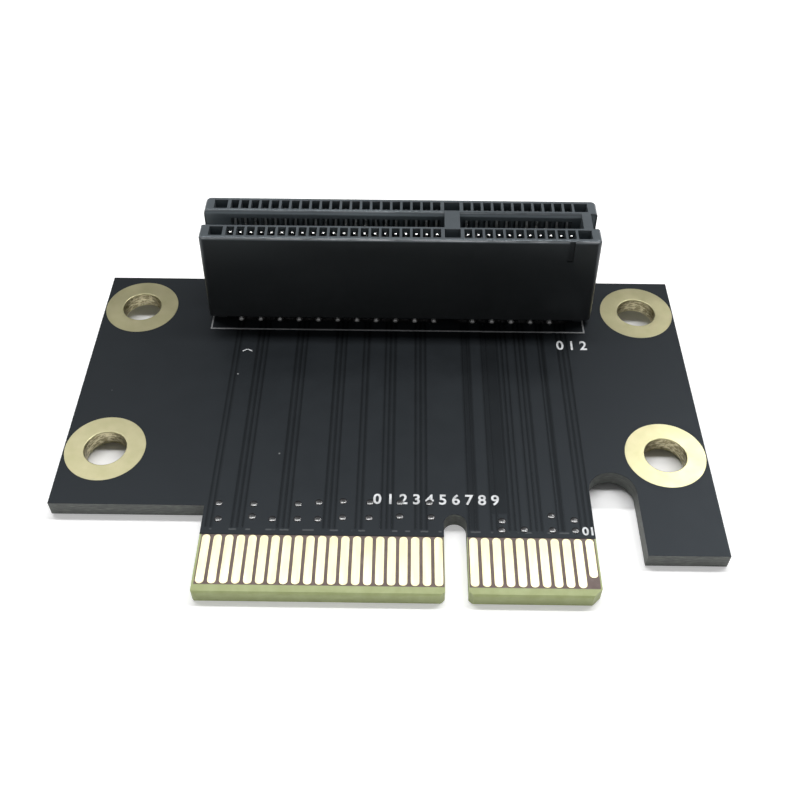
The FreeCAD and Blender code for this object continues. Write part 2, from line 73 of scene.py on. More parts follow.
def object_place(tree, stretch=(1.0, 1.0, 1.0), turn=(0.0, 0.0, 0.0)):
    """A surface's own place in metres, stretched and turned for a pattern."""
    place = add_node(tree, "ShaderNodeTexCoord")
    mapping = add_node(tree, "ShaderNodeMapping", Scale=stretch, Rotation=turn)
    tree.links.new(place.outputs["Object"], mapping.inputs["Vector"])
    return mapping.outputs["Vector"]


def axes_of(tree, vector):
    """A vector's three parts: across the board, along it and up."""
    split = add_node(tree, "ShaderNodeSeparateXYZ")
    tree.links.new(vector, split.inputs["Vector"])
    return split.outputs


def noise(tree, vector, scale, detail=3.0, roughness=0.5):
    """A cloudy pattern between nought and one, its scale in features a metre."""
    pattern = add_node(tree, "ShaderNodeTexNoise", Scale=scale, Detail=detail, Roughness=roughness)
    tree.links.new(vector, pattern.inputs["Vector"])
    return pattern.outputs["Fac"]


def ramp(tree, factor, stops):
    """Colours along a factor, as (position, colour) stops."""
    band = add_node(tree, "ShaderNodeValToRGB")
    for index, (position, colour) in enumerate(stops):
        stop = band.color_ramp.elements[index] if index < 2 else band.color_ramp.elements.new(position)
        stop.position = position
        stop.color = (*colour, 1.0)
    tree.links.new(factor, band.inputs["Fac"])
    return band.outputs["Color"]


def span(tree, value, low, high, to_low=0.0, to_high=1.0):
    """A value carried smoothly from one range to another."""
    step = add_node(tree, "ShaderNodeMapRange", interpolation_type="SMOOTHSTEP")
    step.inputs["From Min"].default_value = low
    step.inputs["From Max"].default_value = high
    step.inputs["To Min"].default_value = to_low
    step.inputs["To Max"].default_value = to_high
    tree.links.new(value, step.inputs["Value"])
    return step.outputs["Result"]


def edge_at(tree, value, start, end):
    """A soft edge in millimetres: nought at its start and one at its end."""
    return span(tree, value, start * MM, end * MM)


def combine(tree, operation, first, second):
    """Math on two values, either of which may be a number."""
    result = add_node(tree, "ShaderNodeMath", operation=operation)
    for socket, value in zip(result.inputs, (first, second)):
        if isinstance(value, (int, float)):
            socket.default_value = value
        else:
            tree.links.new(value, socket)
    return result.outputs["Value"]


def product(tree, first, *others):
    """Values multiplied together, each a socket or a number."""
    for other in others:
        first = combine(tree, "MULTIPLY", first, other)
    return first


def blend_colours(tree, factor, first, second):
    """The first colour where the factor is nought and the second where it is one."""
    mix = add_node(tree, "ShaderNodeMix", data_type="RGBA")
    for socket, value in zip((mix.inputs[0], mix.inputs[6], mix.inputs[7]), (factor, first, second)):
        if isinstance(value, tuple):
            socket.default_value = (*value, 1.0)
        elif isinstance(value, (int, float)):
            socket.default_value = value
        else:
            tree.links.new(value, socket)
    return mix.outputs[2]


def roughen(tree, shader, height, distance):
    """Fine relief on a surface, its depth in metres."""
    bump = add_node(tree, "ShaderNodeBump", Distance=distance, Strength=1.0)
    tree.links.new(height, bump.inputs["Height"])
    tree.links.new(bump.outputs["Normal"], shader.inputs["Normal"])


def coat_node(name, finish):
    """A solid of the frame takes a finish."""
    for entry in nodes[name].material_slots:
        entry.material = finish


# Soft edges of the laminate's zones, as (where nought, where one) in millimetres.
TONGUE_REAR = (5.95, 5.80)
TONGUE_SIDE = (12.35, 12.20)
TOP_FACE = (1.40, 1.46)
COPPER_FRONT = (0.72, 0.84)
COPPER_GROUPS = ((-21.93, -1.08), (1.08, 11.93))
COPPER_SOFT = 0.08
SOCKET_PAINTED_SHADE = (30.0, 30.2)
# Painted shade: how dark the nose's front face is painted at its foot, beside the table.
NOSE_FOOT_PAINTED_SHADE = 0.62

laminate, tree, shader = new_finish("cut_glass_fibre_laminate")
place = object_place(tree)
across, along, up = axes_of(tree, place)
weave = noise(tree, object_place(tree, (1.0, 1.0, 9.0)), 1400.0, 4.0, 0.6)
edge_colour = ramp(tree, weave, [(0.3, (0.060, 0.066, 0.062)), (0.52, (0.096, 0.105, 0.097)),
                                 (0.75, (0.185, 0.198, 0.172))])
nose_colour = ramp(tree, noise(tree, place, 900.0, 3.0), [(0.35, (0.39, 0.44, 0.195)), (0.7, (0.45, 0.51, 0.245))])
between_colour = ramp(tree, noise(tree, place, 1100.0, 3.0),
                      [(0.35, (0.135, 0.092, 0.080)), (0.7, (0.19, 0.135, 0.12))])
# Painted shade: the nose's front face is painted darker towards its foot, where it sits close to the table.
nose_painted_shade = span(tree, up, 0.1 * MM, 1.45 * MM, NOSE_FOOT_PAINTED_SHADE, 1.0)
nose_colour = blend_colours(tree, nose_painted_shade, (0.20, 0.22, 0.10), nose_colour)
tongue = product(tree, edge_at(tree, along, *TONGUE_REAR), edge_at(tree, across, *TONGUE_SIDE))
copper_groups = [product(tree, edge_at(tree, across, first - COPPER_SOFT, first),
                         edge_at(tree, across, last + COPPER_SOFT, last)) for first, last in COPPER_GROUPS]
top_face = edge_at(tree, up, *TOP_FACE)
over_copper = product(tree, edge_at(tree, along, *COPPER_FRONT), top_face, tongue,
                      combine(tree, "MAXIMUM", *copper_groups))
# Painted shade: the bare laminate's top under the socket is painted almost black.
under_socket_painted_shade = product(tree, edge_at(tree, along, *SOCKET_PAINTED_SHADE), top_face)
colour = blend_colours(tree, tongue, edge_colour, nose_colour)
colour = blend_colours(tree, over_copper, colour, between_colour)
colour = blend_colours(tree, under_socket_painted_shade, colour, (0.006, 0.006, 0.007))
tree.links.new(colour, shader.inputs["Base Color"])
shader.inputs["Roughness"].default_value = 0.55
roughen(tree, shader, weave, 0.00002)
coat_node("circuit_board", laminate)


# ---------------------------------------------------------------- solder mask
# A black lacquer printed over both faces and cured to a satin gloss. Along the gaps beside each trace,
# where the copper below stops and the lacquer dips, it is painted darker with a dimmed reflection, as painted
# shade. A little dust lies on it, and a broken line of painted highlight lies behind the fingers.

GAP_LINES = [centre + offset for centre in (-19.0, -15.0, -11.0, -6.0, -3.0, 5.2, 7.05, 11.4)
             for offset in (-0.48, 0.0, 0.48)]
GAP_LINES += [centre + offset for centre in (-8.45, 1.45, 3.4, 9.2) for offset in (-0.24, 0.24)]
GAP_LINES += [-21.75, -21.30, 1.90, 9.20]
LINES_LEFT, LINES_RIGHT = -24.0, 14.0
LINES_FRONT = 6.45
LINE_REACH = 0.17
# Broad bare strips in the copper, as (left, right, front), and how dark their painted shade is beside a line.
WIDE_GAPS = [(1.30, 2.00, 6.5), (3.10, 4.60, 8.2)]
WIDE_SHADE_LEVEL = 0.65
SIDE_SOFT, FRONT_SOFT = 0.08, 0.10
UPPER_MASK = (1.0, 1.2)
# Painted dark reflection: black metal along the gaps dims the lacquer's reflection there.
GAP_PAINTED_DARK_REFLECTION = 0.45
# A broken line of painted highlight behind the fingers, where the lacquer steps over the traces, as soft edges.
DASH_FRONT, DASH_REAR, DASH_SIDE = (6.15, 6.22), (6.38, 6.29), (12.3, 12.2)
DASH_HIGHLIGHT_LEVEL = 0.22
RAMP_PLACES = 7


def new_piece(name, mesh_tool, finish, replaced=()):
    """A finished piece of the object from a bmesh, riding on the board."""
    mesh = bpy.data.meshes.new(name)
    mesh_tool.to_mesh(mesh)
    mesh_tool.free()
    mesh.materials.append(finish)
    piece = bpy.data.objects.new(name, mesh)
    bpy.context.collection.objects.link(piece)
    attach(piece, "root")
    if replaced:
        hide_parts(*replaced)
    return piece


def smooth_by_angle(tool, degrees):
    """Round faces shade smoothly, and edges sharper than the angle stay crisp."""
    for face in tool.faces:
        face.smooth = True
    for edge in tool.edges:
        edge.smooth = edge.is_manifold and edge.calc_face_angle(0.0) < math.radians(degrees)


def soft_lines(tree, value, places, reach, low, high):
    """Narrow soft lines across a value, shared out over colour ramps, which hold few stops."""
    factor = combine(tree, "DIVIDE", combine(tree, "SUBTRACT", value, low * MM), (high - low) * MM)
    ordered = sorted(places)
    lines = None
    for start in range(0, len(ordered), RAMP_PLACES):
        stops = [((place + offset - low) / (high - low), (level,) * 3)
                 for place in ordered[start:start + RAMP_PLACES]
                 for offset, level in ((-reach, 0.0), (-0.3 * reach, 1.0), (0.3 * reach, 1.0), (reach, 0.0))]
        some = ramp(tree, factor, stops)
        lines = some if lines is None else combine(tree, "MAXIMUM", lines, some)
    return lines


mask, tree, shader = new_finish("black_solder_mask")
place = object_place(tree)
across, along, up = axes_of(tree, place)
cloud = noise(tree, place, 60.0, 2.0)
colour = ramp(tree, cloud, [(0.3, (0.0078, 0.0092, 0.0106)), (0.7, (0.0094, 0.0109, 0.0124))])
# Painted shade: the lacquer is painted darker along the trace gaps and the wide bare strips.
gap_painted_shade = soft_lines(tree, across, GAP_LINES, LINE_REACH, LINES_LEFT, LINES_RIGHT)
gap_painted_shade = product(tree, gap_painted_shade, edge_at(tree, along, LINES_FRONT - FRONT_SOFT, LINES_FRONT + FRONT_SOFT))
for start, end, front in WIDE_GAPS:
    wide = product(tree, edge_at(tree, across, start - SIDE_SOFT, start + SIDE_SOFT),
                   edge_at(tree, across, end + SIDE_SOFT, end - SIDE_SOFT),
                   edge_at(tree, along, front - FRONT_SOFT, front + FRONT_SOFT), WIDE_SHADE_LEVEL)
    gap_painted_shade = combine(tree, "MAXIMUM", gap_painted_shade, wide)
gap_painted_shade = product(tree, gap_painted_shade, edge_at(tree, up, *UPPER_MASK))
colour = blend_colours(tree, gap_painted_shade, colour, (0.0045, 0.0051, 0.0056))
specks = add_node(tree, "ShaderNodeTexVoronoi", Scale=420.0, Randomness=1.0)
tree.links.new(place, specks.inputs["Vector"])
dust_and_painted_highlight = span(tree, specks.outputs["Distance"], 0.045, 0.02)
dust_and_painted_highlight = product(tree, dust_and_painted_highlight, span(tree, noise(tree, place, 260.0, 1.0), 0.62, 0.68))
# Painted highlight: a broken light line just behind the fingers, added to the real dust specks.
broken = span(tree, noise(tree, object_place(tree, (1.0, 0.0, 0.0)), 900.0, 1.0), 0.50, 0.56)
painted_highlight_dashes = product(tree, edge_at(tree, along, *DASH_FRONT), edge_at(tree, along, *DASH_REAR),
                 edge_at(tree, across, *DASH_SIDE), broken, DASH_HIGHLIGHT_LEVEL)
dust_and_painted_highlight = combine(tree, "MAXIMUM", dust_and_painted_highlight, painted_highlight_dashes)
colour = blend_colours(tree, dust_and_painted_highlight, colour, (0.30, 0.31, 0.31))
tree.links.new(colour, shader.inputs["Base Color"])
# Painted dark reflection along the gaps.
tree.links.new(product(tree, gap_painted_shade, GAP_PAINTED_DARK_REFLECTION), shader.inputs["Metallic"])
shader.inputs["IOR"].default_value = 1.36
shader.inputs["Specular Tint"].default_value = (0.78, 0.89, 1.0, 1.0)
gloss = span(tree, noise(tree, place, 500.0, 2.0), 0.3, 0.7, 0.37, 0.41)
tree.links.new(gloss, shader.inputs["Roughness"])
roughen(tree, shader, noise(tree, place, 350.0, 2.0), 0.0000006)
for node in ("solder_mask_top", "solder_mask_bottom"):
    coat_node(node, mask)
mask_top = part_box("solder_mask_top")[1].z


# ---------------------------------------------------------------- covered vias
# Small plated holes that join the traces to the inner layers. Each is filled and the lacquer
# runs over it, so it stands as a low glossy dome behind the fingers.

VIA_PLACES = [
    (-20.90, 9.00), (-20.75, 7.30), (-17.80, 8.95), (-17.80, 7.60), (-16.00, 7.35), (-13.87, 9.00),
    (-13.80, 7.40), (-12.04, 9.20), (-12.03, 7.40), (-9.90, 9.35), (-9.87, 7.60), (-7.50, 9.26),
    (-7.55, 7.60), (-4.86, 9.30), (-4.87, 7.80), (-2.24, 9.30), (-2.10, 7.75), (4.10, 7.45),
    (4.04, 6.50), (6.00, 6.57), (8.46, 8.06), (8.45, 6.55), (10.44, 7.63), (10.44, 6.53),
]
VIA_RADIUS = 0.35 * MM
VIA_RISE = 0.085 * MM
VIA_SINK = 0.012 * MM
VIA_CUT = -0.1

via_lacquer, tree, shader = new_finish("glossy_via_lacquer")
drop = noise(tree, object_place(tree), 2400.0, 3.0)
colour = ramp(tree, drop, [(0.3, (0.0070, 0.0080, 0.0090)), (0.7, (0.0110, 0.0125, 0.0140))])
tree.links.new(colour, shader.inputs["Base Color"])
tree.links.new(span(tree, drop, 0.3, 0.7, 0.20, 0.26), shader.inputs["Roughness"])
shader.inputs["IOR"].default_value = 1.9
roughen(tree, shader, drop, 0.000001)

tool = bmesh.new()
for x, y in VIA_PLACES:
    dome = bmesh.ops.create_uvsphere(tool, u_segments=20, v_segments=14, radius=1.0)["verts"]
    below = [vert for vert in dome if vert.co.z < VIA_CUT]
    bmesh.ops.delete(tool, geom=below, context="VERTS")
    dome = [vert for vert in dome if vert.is_valid]
    bmesh.ops.scale(tool, vec=(VIA_RADIUS, VIA_RADIUS, VIA_RISE), verts=dome)
    bmesh.ops.translate(tool, vec=(x * MM, y * MM, mask_top - VIA_SINK), verts=dome)
bmesh.ops.holes_fill(tool, edges=[edge for edge in tool.edges if edge.is_boundary], sides=0)
bmesh.ops.recalc_face_normals(tool, faces=tool.faces)
smooth_by_angle(tool, 60.0)
new_piece("covered_vias", tool, via_lacquer)


# ---------------------------------------------------------------- plated screw holes
# Copper barrels with a flat ring at each face, plated with gold over nickel. They line the four
# screw holes, so the metal is one skin, and handling leaves fine crossed scratches on the rings.

BORE_RADIUS = 1.95 * MM
RING_RADIUS = 3.735 * MM
RING_RISE = 0.012 * MM
BORE_ROUNDING = 0.06 * MM
ROUNDING_STEPS = 4
ROUND_STEPS = 96
# Two close loops inside the ring's edges keep its wide flat face evenly shaded.
INNER_LOOP, OUTER_LOOP = 0.03 * MM, 0.05 * MM
BORE_TOP, BORE_FOOT = (1.46, 1.40), (0.05, 0.11)
MERGE, FINE_MERGE = 1e-7, 1e-8
SCRATCH_LEVEL = 0.02


def spin_profile(tool, profile, centre, steps, closed=False):
    """A profile of (radius, height) turned about the vertical through a centre."""
    verts = [tool.verts.new((centre[0] + radius, centre[1], height)) for radius, height in profile]
    edges = [tool.edges.new(pair) for pair in zip(verts, verts[1:])]
    if closed:
        edges.append(tool.edges.new((verts[-1], verts[0])))
    bmesh.ops.spin(tool, geom=verts + edges, cent=(centre[0], centre[1], 0.0), axis=(0.0, 0.0, 1.0),
                   angle=2 * math.pi, steps=steps, use_merge=True)


def tidy_surface(tool, distance=MERGE):
    """Points in one place become one, and faces point outwards."""
    bmesh.ops.remove_doubles(tool, verts=tool.verts, dist=distance)
    bmesh.ops.recalc_face_normals(tool, faces=tool.faces)


gold_ring, tree, shader = new_finish("gold_plated_ring")
place = object_place(tree)
scratches = [noise(tree, object_place(tree, (1.0, 0.08, 1.0), (0.0, 0.0, turn)), 3800.0, 2.0)
             for turn in (0.7, -0.85)]
crossed = combine(tree, "ADD", *scratches)
patches = noise(tree, place, 700.0, 3.0)
colour = ramp(tree, patches, [(0.3, (0.475, 0.450, 0.265)), (0.7, (0.535, 0.500, 0.310))])
across, along, up = axes_of(tree, place)
in_bore = product(tree, edge_at(tree, up, *BORE_TOP), edge_at(tree, up, *BORE_FOOT))
drilled = span(tree, noise(tree, object_place(tree, (1.0, 1.0, 2.6)), 2100.0, 4.0, 0.6), 0.40, 0.60)
barrel = ramp(tree, drilled, [(0.1, (0.30, 0.265, 0.155)), (0.9, (0.72, 0.66, 0.45))])
colour = blend_colours(tree, in_bore, colour, barrel)
tree.links.new(colour, shader.inputs["Base Color"])
shader.inputs["Metallic"].default_value = 1.0
tree.links.new(span(tree, noise(tree, place, 500.0), 0.3, 0.7, 0.28, 0.33), shader.inputs["Roughness"])
relief = combine(tree, "ADD", product(tree, crossed, SCRATCH_LEVEL), product(tree, in_bore, drilled))
roughen(tree, shader, relief, 0.000010)

for corner in ("rear_left", "rear_right", "front_left", "front_right"):
    node = f"{corner}_hole_plating"
    low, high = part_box(node)
    centre = ((low + high) / 2).xy
    middle = (low.z + high.z) / 2
    half = (high.z - low.z) / 2 + RING_RISE
    upper = [(BORE_RADIUS, 0.0)]
    for step in range(ROUNDING_STEPS + 1):
        turn = math.pi / 2 * step / ROUNDING_STEPS
        upper.append((BORE_RADIUS + BORE_ROUNDING * (1 - math.cos(turn)),
                      half - BORE_ROUNDING * (1 - math.sin(turn))))
    upper += [(BORE_RADIUS + BORE_ROUNDING + INNER_LOOP, half), (RING_RADIUS - OUTER_LOOP, half),
              (RING_RADIUS - RING_RISE, half), (RING_RADIUS, half - RING_RISE),
              (RING_RADIUS, half - 4 * RING_RISE), (BORE_RADIUS + 2 * BORE_ROUNDING, half - 4 * RING_RISE)]
    profile = upper + [(radius, -height) for radius, height in reversed(upper[1:])]
    tool = bmesh.new()
    profile = [(radius, middle + height) for radius, height in profile]
    spin_profile(tool, profile, centre, ROUND_STEPS, closed=True)
    tidy_surface(tool)
    smooth_by_angle(tool, 25.0)
    new_piece(f"{corner}_gold_ring", tool, gold_ring, (node,))


# ---------------------------------------------------------------- gold edge fingers
# The contacts of the card edge: copper fingers etched with round ends, plated with nickel and
# hard gold, thirty-two on each face either side of the key notch. The short ones touch last.

PITCH = 1.0 * MM
FINGER_WIDTH = 0.7 * MM
FINGER_FRONT = 0.85 * MM
SHORT_FRONT = 1.85 * MM
FINGER_REAR = 5.67 * MM
FINGER_END_RADIUS = 0.33 * MM
FINGER_EDGE = 0.02 * MM


def add_finger(tool, x, front, low, high):
    """One finger: a thin strip with round ends and a softened rim."""
    made = bmesh.ops.create_cube(tool, size=1.0)["verts"]
    size = (FINGER_WIDTH, FINGER_REAR - front, high - low)
    bmesh.ops.scale(tool, vec=size, verts=made)
    bmesh.ops.translate(tool, vec=(x, (FINGER_REAR + front) / 2, (low + high) / 2), verts=made)
    faces = {face for vert in made for face in vert.link_faces}
    corners = {edge for face in faces for edge in face.edges
               if abs(edge.verts[0].co.z - edge.verts[1].co.z) > (high - low) / 2}
    rounded = bmesh.ops.bevel(tool, geom=list(corners), offset=FINGER_END_RADIUS, offset_type="OFFSET",
                              affect="EDGES", segments=6, profile=0.5, material=-1)
    faces |= set(rounded["faces"])
    faces = {face for face in faces if face.is_valid}
    caps = [face for face in faces if abs(face.normal.z) > 0.9]
    rims = {edge for face in caps for edge in face.edges}
    bmesh.ops.bevel(tool, geom=list(rims), offset=FINGER_EDGE, offset_type="OFFSET", affect="EDGES",
                    segments=1, profile=0.5, material=-1)


gold_finger, tree, shader = new_finish("hard_gold_finger")
place = object_place(tree)
worn = noise(tree, object_place(tree, (1.0, 0.12, 1.0)), 2600.0, 3.0)
colour = ramp(tree, worn, [(0.3, (0.82, 0.75, 0.44)), (0.7, (0.89, 0.82, 0.53))])
tree.links.new(colour, shader.inputs["Base Color"])
shader.inputs["Metallic"].default_value = 1.0
tree.links.new(span(tree, worn, 0.3, 0.7, 0.30, 0.36), shader.inputs["Roughness"])
roughen(tree, shader, worn, 0.000001)

# For each node: its first finger's place in millimetres, how many it holds, and which are short.
FINGER_GROUPS = {
    "fingers_top_long": (-21.5, 21, ()),
    "fingers_top_short": (1.5, 11, (10,)),
    "fingers_bottom_long": (-21.5, 21, (1, 15)),
    "fingers_bottom_short": (1.5, 11, ()),
}
for node, (first, count, short_ones) in FINGER_GROUPS.items():
    low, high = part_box(node)
    tool = bmesh.new()
    for index in range(count):
        front = SHORT_FRONT if index in short_ones else FINGER_FRONT
        add_finger(tool, first * MM + index * PITCH, front, low.z, high.z)
    tidy_surface(tool)
    smooth_by_angle(tool, 30.0)
    new_piece(f"{node}_plated", tool, gold_finger, (node,))


# ---------------------------------------------------------------- socket housing
# The expansion card's socket: one injection moulding in black glass-filled nylon, with a keyed
# slot and a channel for each contact. The moulding has a satin face and sharp, clean edges; its top and slot
# are painted lighter as painted light, and its rims carry a painted highlight.

SOCKET_LOW, SOCKET_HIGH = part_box("socket_housing")
socket_axis = (SOCKET_LOW.y + SOCKET_HIGH.y) / 2
socket_top = SOCKET_HIGH.z
# How strong the painted highlight on the rims away from the front edge is, beside that edge's.
OTHER_RIMS_HIGHLIGHT = 0.22

nylon, tree, shader = new_finish("black_moulded_nylon")
place = object_place(tree)
across, along, up = axes_of(tree, place)
flow = noise(tree, object_place(tree, (0.35, 1.0, 1.0)), 260.0, 3.0)
colour = ramp(tree, flow, [(0.3, (0.0130, 0.0145, 0.0152)), (0.7, (0.0170, 0.0188, 0.0198))])
# Painted light: the top faces are painted a lighter grey than the black sides.
top_painted_light = ramp(tree, flow, [(0.3, (0.078, 0.090, 0.099)), (0.7, (0.108, 0.125, 0.137))])
# Painted light: the slot's inside is painted a lighter grey than the shade it lies in.
slot_painted_light = ramp(tree, flow, [(0.3, (0.094, 0.112, 0.123)), (0.7, (0.130, 0.153, 0.167))])
# Painted highlight: a light streaky colour on the rims stands in for the lamp's reflection on the edge.
painted_edge_highlight = ramp(tree, noise(tree, object_place(tree, (1.0, 0.1, 0.1)), 420.0, 3.0),
                 [(0.35, (0.20, 0.21, 0.22)), (0.65, (0.62, 0.64, 0.66))])
# Zones measured in from the housing's own faces: its inside and its top, painted lighter as painted light, and the
# rims round the top, which carry a painted highlight.
off_axis = combine(tree, "ABSOLUTE", combine(tree, "SUBTRACT", along, socket_axis), 0.0)
below_top = combine(tree, "SUBTRACT", socket_top, up)
from_left = combine(tree, "SUBTRACT", across, SOCKET_LOW.x)
from_right = combine(tree, "SUBTRACT", SOCKET_HIGH.x, across)
from_front = combine(tree, "SUBTRACT", along, SOCKET_LOW.y)
inside_painted_light = product(tree, edge_at(tree, off_axis, 2.95, 2.80), edge_at(tree, up, 3.6, 6.0),
                 edge_at(tree, from_left, 0.3, 0.5), edge_at(tree, from_right, 0.3, 0.5))
at_top = edge_at(tree, below_top, 0.24, 0.14)
rim_band = edge_at(tree, below_top, 0.14, 0.10)
near_rim = product(tree, rim_band, edge_at(tree, from_front, 0.16, 0.10))
rim_painted_highlight = product(tree, rim_band, edge_at(tree, below_top, 0.015, 0.035), OTHER_RIMS_HIGHLIGHT)
rim_painted_highlight = combine(tree, "MAXIMUM", rim_painted_highlight, near_rim)
# Painted light inside the slot.
colour = blend_colours(tree, inside_painted_light, colour, slot_painted_light)
# Painted light on the top faces.
colour = blend_colours(tree, at_top, colour, top_painted_light)
# Painted highlight on the rims.
colour = blend_colours(tree, rim_painted_highlight, colour, painted_edge_highlight)
tree.links.new(colour, shader.inputs["Base Color"])
grain = span(tree, noise(tree, place, 1500.0, 3.0), 0.3, 0.7, 0.0, 0.05)
tree.links.new(combine(tree, "ADD", grain, span(tree, at_top, 0.0, 1.0, 0.33, 0.20)), shader.inputs["Roughness"])
shader.inputs["IOR"].default_value = 1.55
tree.links.new(near_rim, shader.inputs["Coat Weight"])
shader.inputs["Coat IOR"].default_value = 2.0
shader.inputs["Coat Roughness"].default_value = 0.20
shader.inputs["Specular Tint"].default_value = (0.84, 0.93, 1.0, 1.0)
roughen(tree, shader, noise(tree, place, 2600.0, 3.0), 0.000004)

EDGE_ROUNDING = 0.11 * MM
RIM_ZONE = 0.5 * MM
RIM_ANGLES = (math.radians(25), math.radians(70))
FLAT_ANGLE = math.radians(0.5)
tool = bmesh.new()
tool.from_mesh(nodes["socket_housing"].data)
bmesh.ops.remove_doubles(tool, verts=tool.verts, dist=MERGE)
bmesh.ops.dissolve_limit(tool, angle_limit=FLAT_ANGLE, verts=tool.verts, edges=tool.edges)
rim_low = socket_top - RIM_ZONE
rims = [edge for edge in tool.edges if edge.is_manifold
        and min(vert.co.z for vert in edge.verts) > rim_low
        and RIM_ANGLES[0] < edge.calc_face_angle() < RIM_ANGLES[1]]
bmesh.ops.bevel(tool, geom=rims, offset=EDGE_ROUNDING, offset_type="OFFSET", affect="EDGES", segments=3,
                profile=0.5, material=-1, clamp_overlap=True)
smooth_by_angle(tool, 28.0)
new_piece("socket_moulding", tool, nylon, ("socket_housing",))


# ---------------------------------------------------------------- contacts
# Springs stamped from copper alloy strip and plated, pressed into the housing from below. Their
# tips line the slot and their tails go down through the board.

contact_metal, tree, shader = new_finish("plated_contact_spring")
drawn = noise(tree, object_place(tree, (1.0, 1.0, 0.1)), 3000.0, 3.0)
colour = ramp(tree, drawn, [(0.3, (0.42, 0.42, 0.41)), (0.7, (0.66, 0.66, 0.65))])
tree.links.new(colour, shader.inputs["Base Color"])
shader.inputs["Metallic"].default_value = 1.0
tree.links.new(span(tree, drawn, 0.3, 0.7, 0.25, 0.38), shader.inputs["Roughness"])

# Each row holds every other contact: where its groups start in millimetres, and how many they hold.
ROW_FIRST = {"outer": [(-21.5, 11), (2.5, 5)], "inner": [(-20.5, 10), (1.5, 6)]}
ROW_STEP = 2
ROW_REACH = {"outer": 2.85, "inner": 1.10}
BELLY_REACH = 0.62
TAIL_WIDTH = 0.24
TAIL_INSET = 0.02 * MM
SPRING_THICKNESS = 0.13 * MM
# Height over the board, lean towards the tail's row, spread behind the belly, and width.
SPRING_PATH = [
    (1.30, 1.00, 0.00, 0.24), (1.75, 0.94, 0.00, 0.40), (5.60, 0.33, 0.00, 0.38), (7.35, 0.05, 0.00, 0.30),
    (7.65, 0.00, 0.00, 0.27), (7.95, 0.00, 0.05, 0.26), (9.30, 0.00, 0.63, 0.24), (10.70, 0.00, 1.23, 0.20),
]


def add_spring(tool, x, way, reach, foot):
    """One spring: a strip drawn up along its path, narrowed at its tail and at its tip."""
    start = [tool.verts.new((x + half * TAIL_WIDTH * MM / 2, socket_axis + way * reach * MM, foot))
             for half in (-1, 1)]
    edge = tool.edges.new(start)
    for height, lean, spread, width in SPRING_PATH:
        across = BELLY_REACH + lean * (reach - BELLY_REACH) + spread
        grown = bmesh.ops.extrude_edge_only(tool, edges=[edge])["geom"]
        edge = next(item for item in grown if isinstance(item, bmesh.types.BMEdge))
        for vert in edge.verts:
            half = 1 if vert.co.x > x else -1
            vert.co = (x + half * width * MM / 2, socket_axis + way * across * MM, mask_top + height * MM)


for side, way in (("near", -1), ("far", 1)):
    for row, reach in ROW_REACH.items():
        node = f"contacts_{side}_{row}_row"
        low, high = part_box(node)
        centres = [start + ROW_STEP * step for start, count in ROW_FIRST[row] for step in range(count)]
        shift = (low.x + high.x) / 2 - (min(centres) + max(centres)) / 2 * MM
        tool = bmesh.new()
        for x in centres:
            add_spring(tool, x * MM + shift, way, reach, low.z + TAIL_INSET)
        bmesh.ops.recalc_face_normals(tool, faces=tool.faces)
        bmesh.ops.solidify(tool, geom=tool.faces[:], thickness=SPRING_THICKNESS)
        tidy_surface(tool)
        smooth_by_angle(tool, 40.0)
        new_piece(f"{node}_springs", tool, contact_metal, (node,))


# ---------------------------------------------------------------- solder joints
# Sixty-four joints, where a wave of molten solder drew up round the contact tails. Each is a bright
# concave fillet on the underside, and a smaller, duller collar where it wetted through on top.

# Both profiles are (radius, height off the board's face), in millimetres.
FILLET_PROFILE = [(0.0, 1.0), (0.11, 0.99), (0.16, 0.93), (0.18, 0.70), (0.23, 0.42), (0.30, 0.20),
                  (0.38, 0.05), (0.40, 0.0)]
COLLAR_PROFILE = [(0.0, 0.58), (0.09, 0.57), (0.12, 0.50), (0.155, 0.30), (0.20, 0.14), (0.28, 0.04), (0.34, 0.0)]
FILLET_STEPS = 14

solder, tree, shader = new_finish("bright_solder")
place = object_place(tree)
grain = noise(tree, place, 1800.0, 3.0)
colour = ramp(tree, grain, [(0.3, (0.58, 0.58, 0.59)), (0.7, (0.74, 0.74, 0.75))])
tree.links.new(colour, shader.inputs["Base Color"])
shader.inputs["Metallic"].default_value = 1.0
tree.links.new(span(tree, grain, 0.3, 0.7, 0.22, 0.36), shader.inputs["Roughness"])
roughen(tree, shader, grain, 0.000006)

dull_solder, tree, shader = new_finish("dull_solder")
film = noise(tree, object_place(tree), 900.0, 3.0)
colour = ramp(tree, film, [(0.3, (0.20, 0.20, 0.20)), (0.7, (0.40, 0.40, 0.40))])
tree.links.new(colour, shader.inputs["Base Color"])
shader.inputs["Metallic"].default_value = 1.0
tree.links.new(span(tree, film, 0.3, 0.7, 0.34, 0.46), shader.inputs["Roughness"])
roughen(tree, shader, film, 0.000004)

for side in ("near", "far"):
    for row, groups in ROW_FIRST.items():
        node = f"solder_{side}_{row}_row"
        low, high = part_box(node)
        middle = (low + high) / 2
        centres = [start + ROW_STEP * step for start, count in groups for step in range(count)]
        shift = middle.x - (min(centres) + max(centres)) / 2 * MM
        tool = bmesh.new()
        for x in centres:
            profile = [(radius * MM, high.z - height * MM) for radius, height in FILLET_PROFILE]
            spin_profile(tool, profile, (x * MM + shift, middle.y), FILLET_STEPS)
        tidy_surface(tool)
        smooth_by_angle(tool, 60.0)
        new_piece(f"{node}_fillets", tool, solder, (node,))
        tool = bmesh.new()
        for x in centres:
            profile = [(radius * MM, mask_top + height * MM) for radius, height in COLLAR_PROFILE]
            spin_profile(tool, profile, (x * MM + shift, middle.y), FILLET_STEPS)
        tidy_surface(tool)
        smooth_by_angle(tool, 60.0)
        new_piece(f"{node}_upper_fillets", tool, dull_solder)


